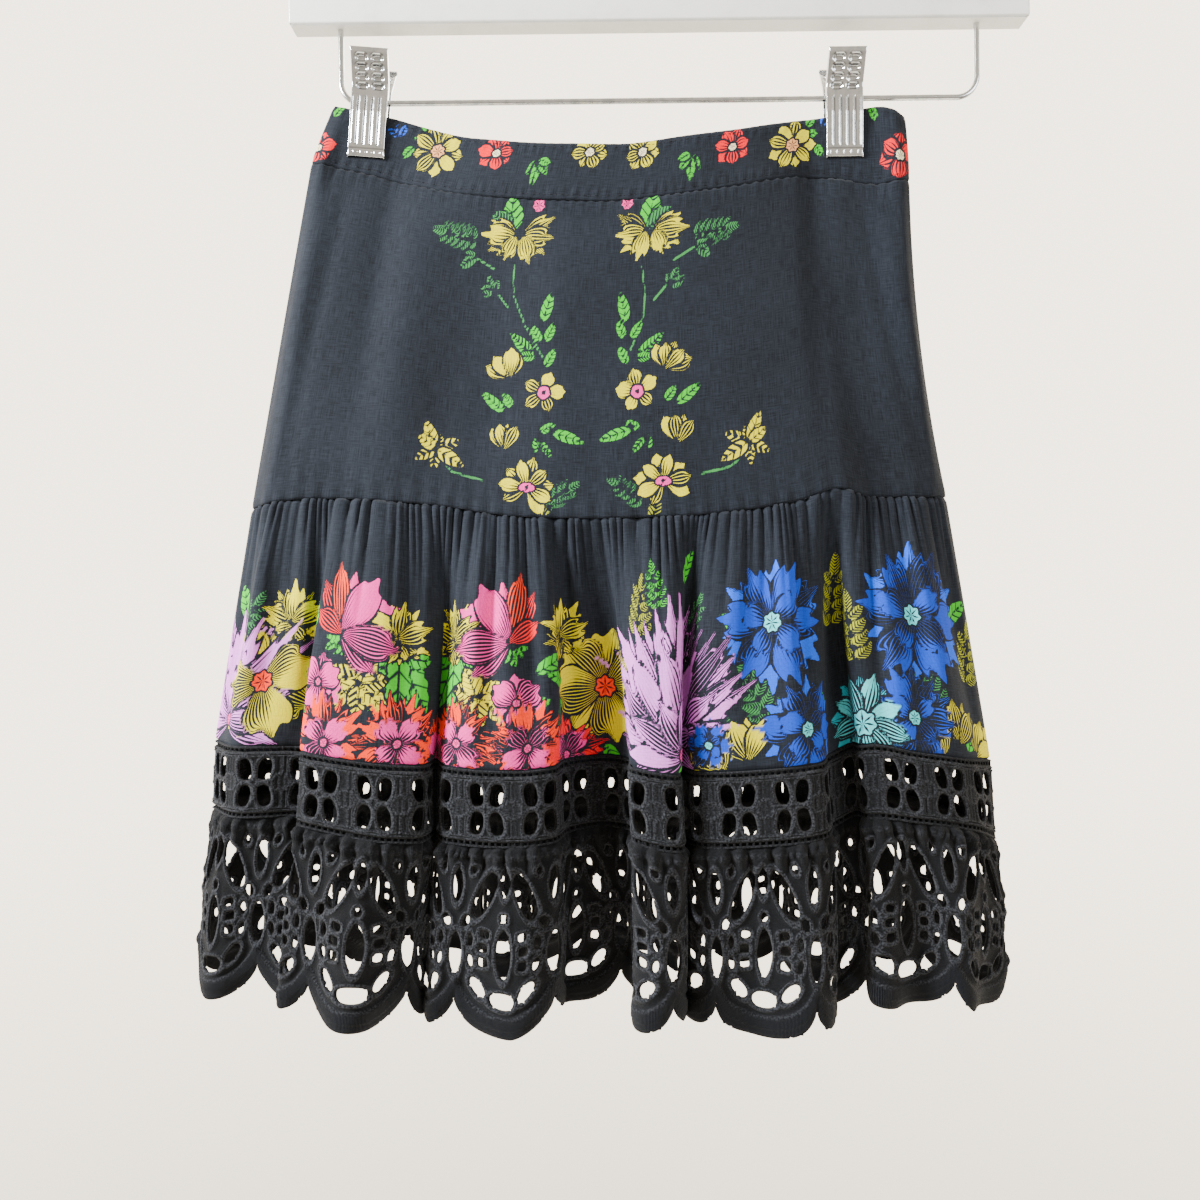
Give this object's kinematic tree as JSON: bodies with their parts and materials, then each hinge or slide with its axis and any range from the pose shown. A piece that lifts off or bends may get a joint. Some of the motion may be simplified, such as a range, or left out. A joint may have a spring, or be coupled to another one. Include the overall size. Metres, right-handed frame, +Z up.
{
  "type": "mini skirt on clip hanger",
  "caption": "Dark A-line cotton mini skirt with a flower print, a gathered tier, a cutwork lace band and a scalloped lace ruffle, hung from a clip hanger.",
  "frame": {"origin": "the hook's saddle, the point under its top that rests on a rail", "axes": "+Z up along the hanging skirt, -Y towards the skirt's front, +X to the right as seen from the front"},
  "size_m": [0.4439, 0.1149, 0.6247],
  "materials": {
    "printed_cotton": "plain weave, dull",
    "lace": "corded cutwork, dull",
    "chrome": "bright plating",
    "white_paint": "white satin paint"
  },
  "bodies": {
    "root": {"hanger_bar": "white_paint", "hanger_hook": "chrome", "hanger_wire": "chrome", "clip_left_front_jaw": "chrome", "clip_left_rear_jaw": "chrome", "clip_left_spring": "chrome", "clip_right_front_jaw": "chrome", "clip_right_rear_jaw": "chrome", "clip_right_spring": "chrome", "waistband_front": "printed_cotton", "waistband_back": "printed_cotton", "upper_front": "printed_cotton", "upper_back": "printed_cotton", "tier_front": "printed_cotton", "tier_back": "printed_cotton", "lace_band_front": "lace", "lace_band_back": "lace", "lace_ruffle_front": "lace", "lace_ruffle_back": "lace"}
  },
  "joints": []
}
